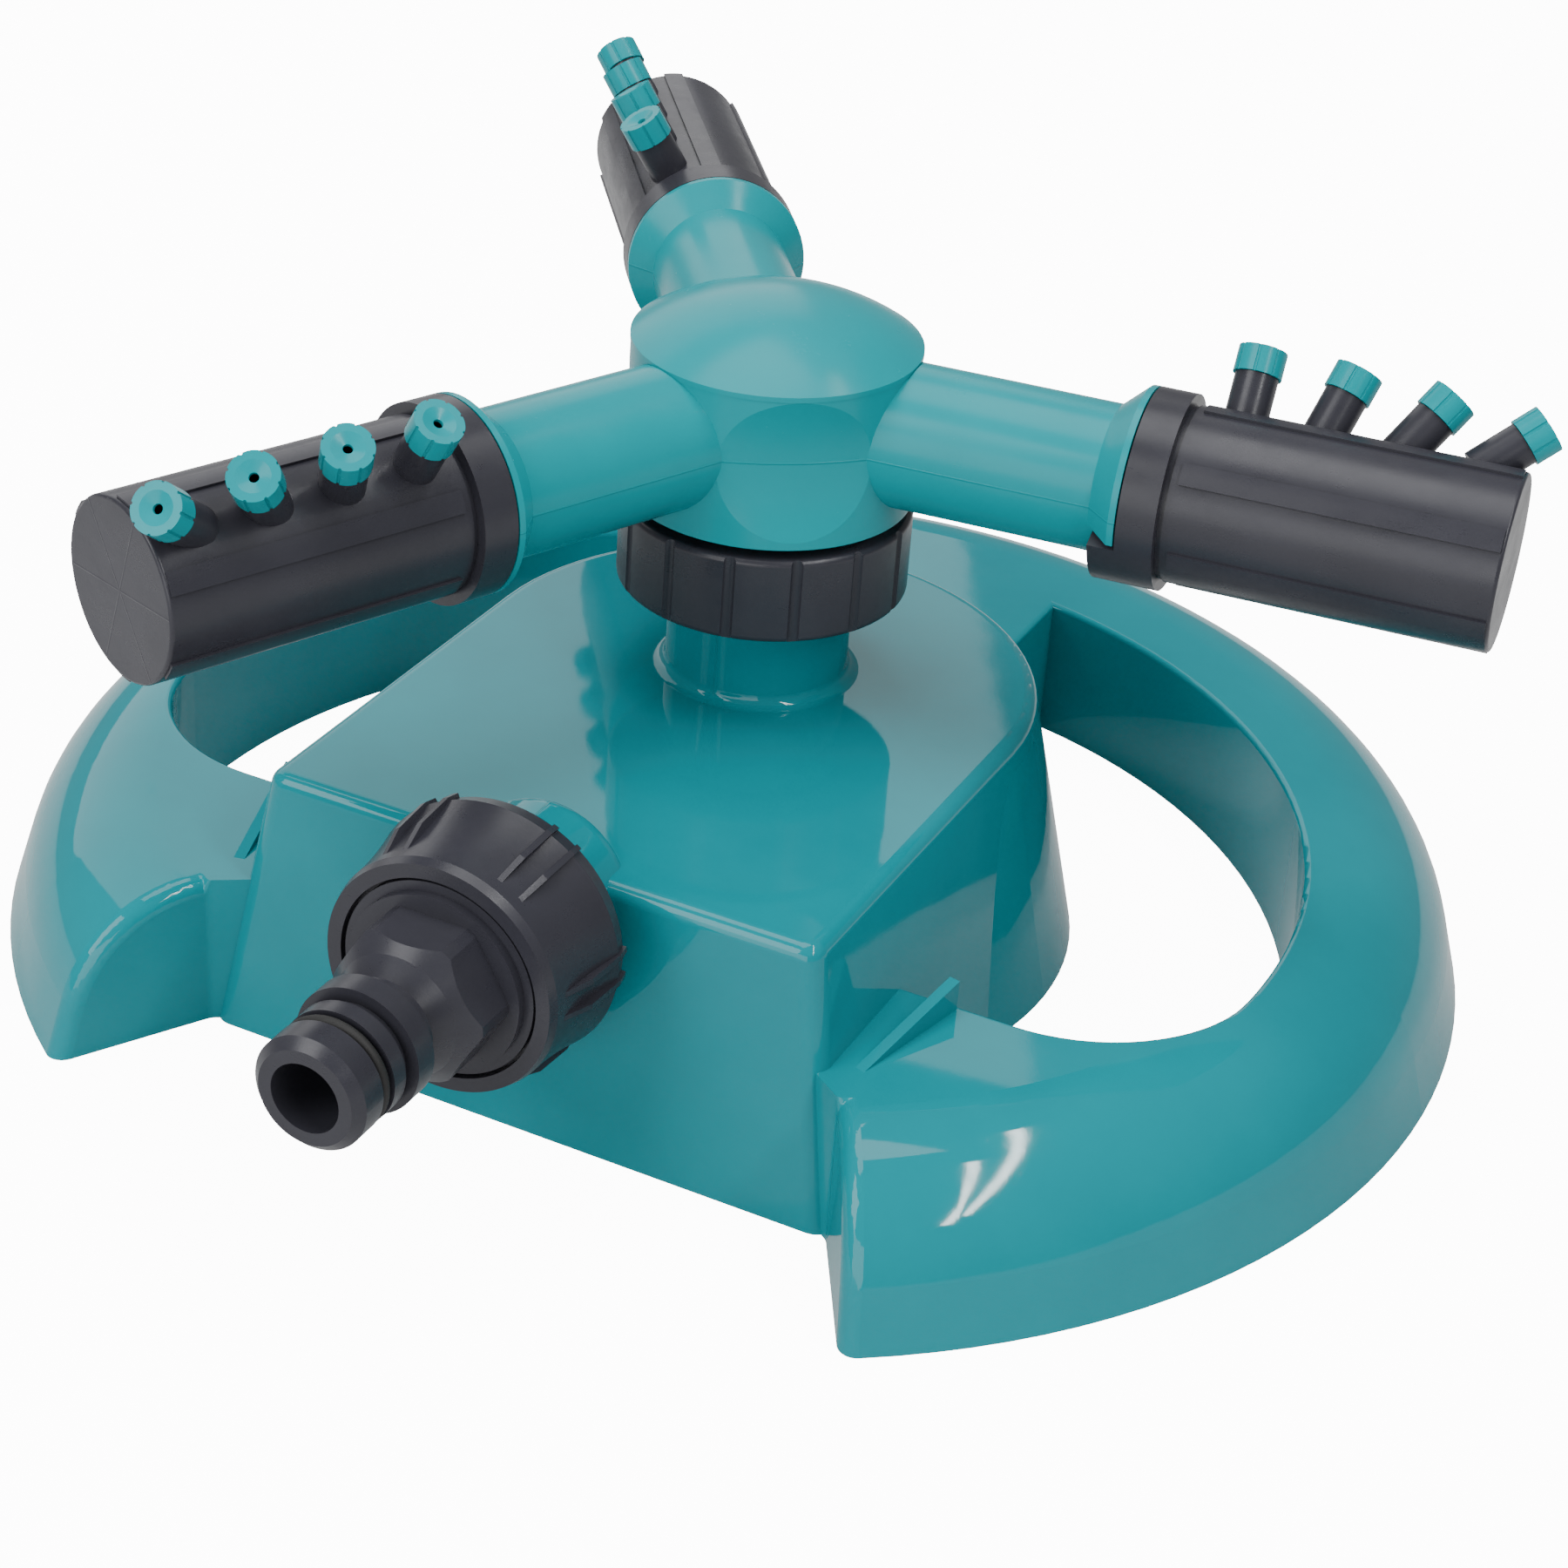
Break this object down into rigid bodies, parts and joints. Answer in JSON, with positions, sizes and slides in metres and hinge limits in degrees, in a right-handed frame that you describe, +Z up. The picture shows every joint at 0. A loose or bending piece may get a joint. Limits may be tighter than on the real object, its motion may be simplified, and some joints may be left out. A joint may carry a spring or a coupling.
{
  "type": "rotary lawn sprinkler",
  "caption": "Rotary lawn sprinkler with a teal ring base, hose inlet and three arms carrying black tilting nozzle barrels.",
  "frame": {"origin": "the spin axis of the rotor where it meets the floor", "axes": "+Z up along the spin axis, the hose inlet towards -Y, +X to the right seen from the inlet"},
  "size_m": [0.215, 0.225, 0.1005],
  "materials": {
    "teal_shell": "gloss",
    "teal_rotor": "satin",
    "black_plastic": "satin",
    "seal_rubber": "matte",
    "washer_plastic": "satin",
    "spring_steel": "satin"
  },
  "bodies": {
    "base": {"base_shell": "teal_shell", "inlet_coupling_nut": "black_plastic", "quick_connect_nipple": "black_plastic", "nipple_o_ring": "seal_rubber", "inlet_washer": "seal_rubber", "collar_nut": "black_plastic", "lower_thrust_washer": "washer_plastic", "upper_thrust_washer": "washer_plastic"},
    "rotor": {"spindle": "black_plastic", "spindle_o_ring": "seal_rubber", "hub_body": "teal_rotor", "hub_cap": "teal_rotor", "barrel_o_ring_a": "seal_rubber", "barrel_o_ring_b": "seal_rubber", "barrel_o_ring_c": "seal_rubber", "barrel_clip_a": "spring_steel", "barrel_clip_b": "spring_steel", "barrel_clip_c": "spring_steel"},
    "barrel_a_body": {"barrel_a": "black_plastic", "nozzle_cap_a1": "teal_rotor", "nozzle_cap_a2": "teal_rotor", "nozzle_cap_a3": "teal_rotor", "nozzle_cap_a4": "teal_rotor"},
    "barrel_b_body": {"barrel_b": "black_plastic", "nozzle_cap_b1": "teal_rotor", "nozzle_cap_b2": "teal_rotor", "nozzle_cap_b3": "teal_rotor", "nozzle_cap_b4": "teal_rotor"},
    "barrel_c_body": {"barrel_c": "black_plastic", "nozzle_cap_c1": "teal_rotor", "nozzle_cap_c2": "teal_rotor", "nozzle_cap_c3": "teal_rotor", "nozzle_cap_c4": "teal_rotor"}
  },
  "joints": [
    {"name": "rotor_spin", "type": "hinge", "parent": "base", "child": "rotor", "pos_m": [0, 0, 0.0643], "axis": [0, 0, 1], "continuous": true},
    {"name": "barrel_a_tilt", "type": "hinge", "parent": "rotor", "child": "barrel_a_body", "pos_m": [0.05716, 0.00626, 0.0803], "axis": [0.9941, 0.1088, 0], "range_deg": [0, 37]},
    {"name": "barrel_b_tilt", "type": "hinge", "parent": "rotor", "child": "barrel_b_body", "pos_m": [-0.034, 0.04637, 0.0803], "axis": [-0.5913, 0.8065, 0], "range_deg": [-6.5, 30.5]},
    {"name": "barrel_c_tilt", "type": "hinge", "parent": "rotor", "child": "barrel_c_body", "pos_m": [-0.02316, -0.05263, 0.0803], "axis": [-0.4028, -0.9153, 0], "range_deg": [-3.5, 33.5]}
  ]
}
